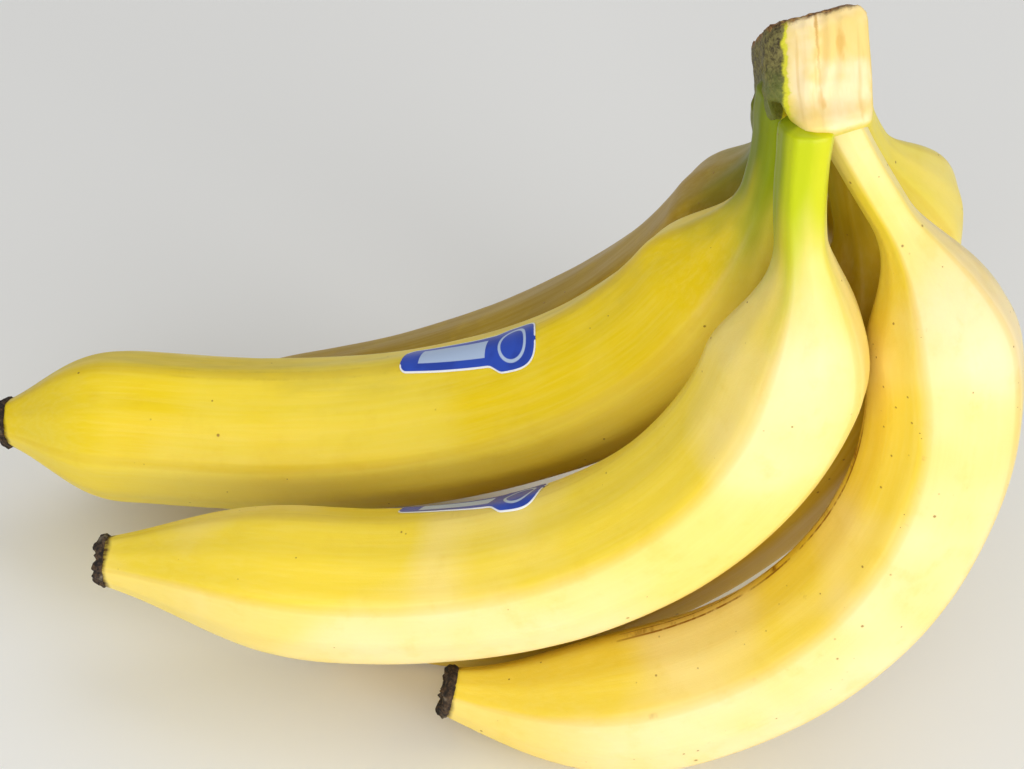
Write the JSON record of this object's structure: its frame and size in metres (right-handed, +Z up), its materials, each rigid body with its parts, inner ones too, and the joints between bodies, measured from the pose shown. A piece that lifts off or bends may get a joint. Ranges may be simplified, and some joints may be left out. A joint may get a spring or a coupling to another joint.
{
  "type": "bunch of bananas",
  "caption": "Bunch of ripe yellow bananas joined at a trimmed crown, resting on the undersides of its curved fingers, with plain blue labels.",
  "frame": {"origin": "on the table under the middle of the bunch's bounding box", "axes": "+Z up from the table, +X along the fingers from their tips towards the outside of the bend, +Y from the front fingers to the back ones"},
  "size_m": [0.2562, 0.1686, 0.2087],
  "materials": {
    "peel": null,
    "cut_crown": "matt trimmed woody crown, cream where it was cut and brown where its old skin dried",
    "dry_blossom": "rough dry flower remnant",
    "label": "plain satin paper label with a white edge"
  },
  "bodies": {
    "root": {"crown": "cut_crown", "banana_1": "peel", "banana_2": "peel", "banana_3": "peel", "banana_4": "peel", "banana_5": "peel", "banana_6": "peel", "blossom_end_1": "dry_blossom", "blossom_end_2": "dry_blossom", "blossom_end_3": "dry_blossom", "blossom_end_4": "dry_blossom", "blossom_end_5": "dry_blossom", "blossom_end_6": "dry_blossom", "sticker_1": "label", "sticker_2": "label"}
  },
  "joints": []
}
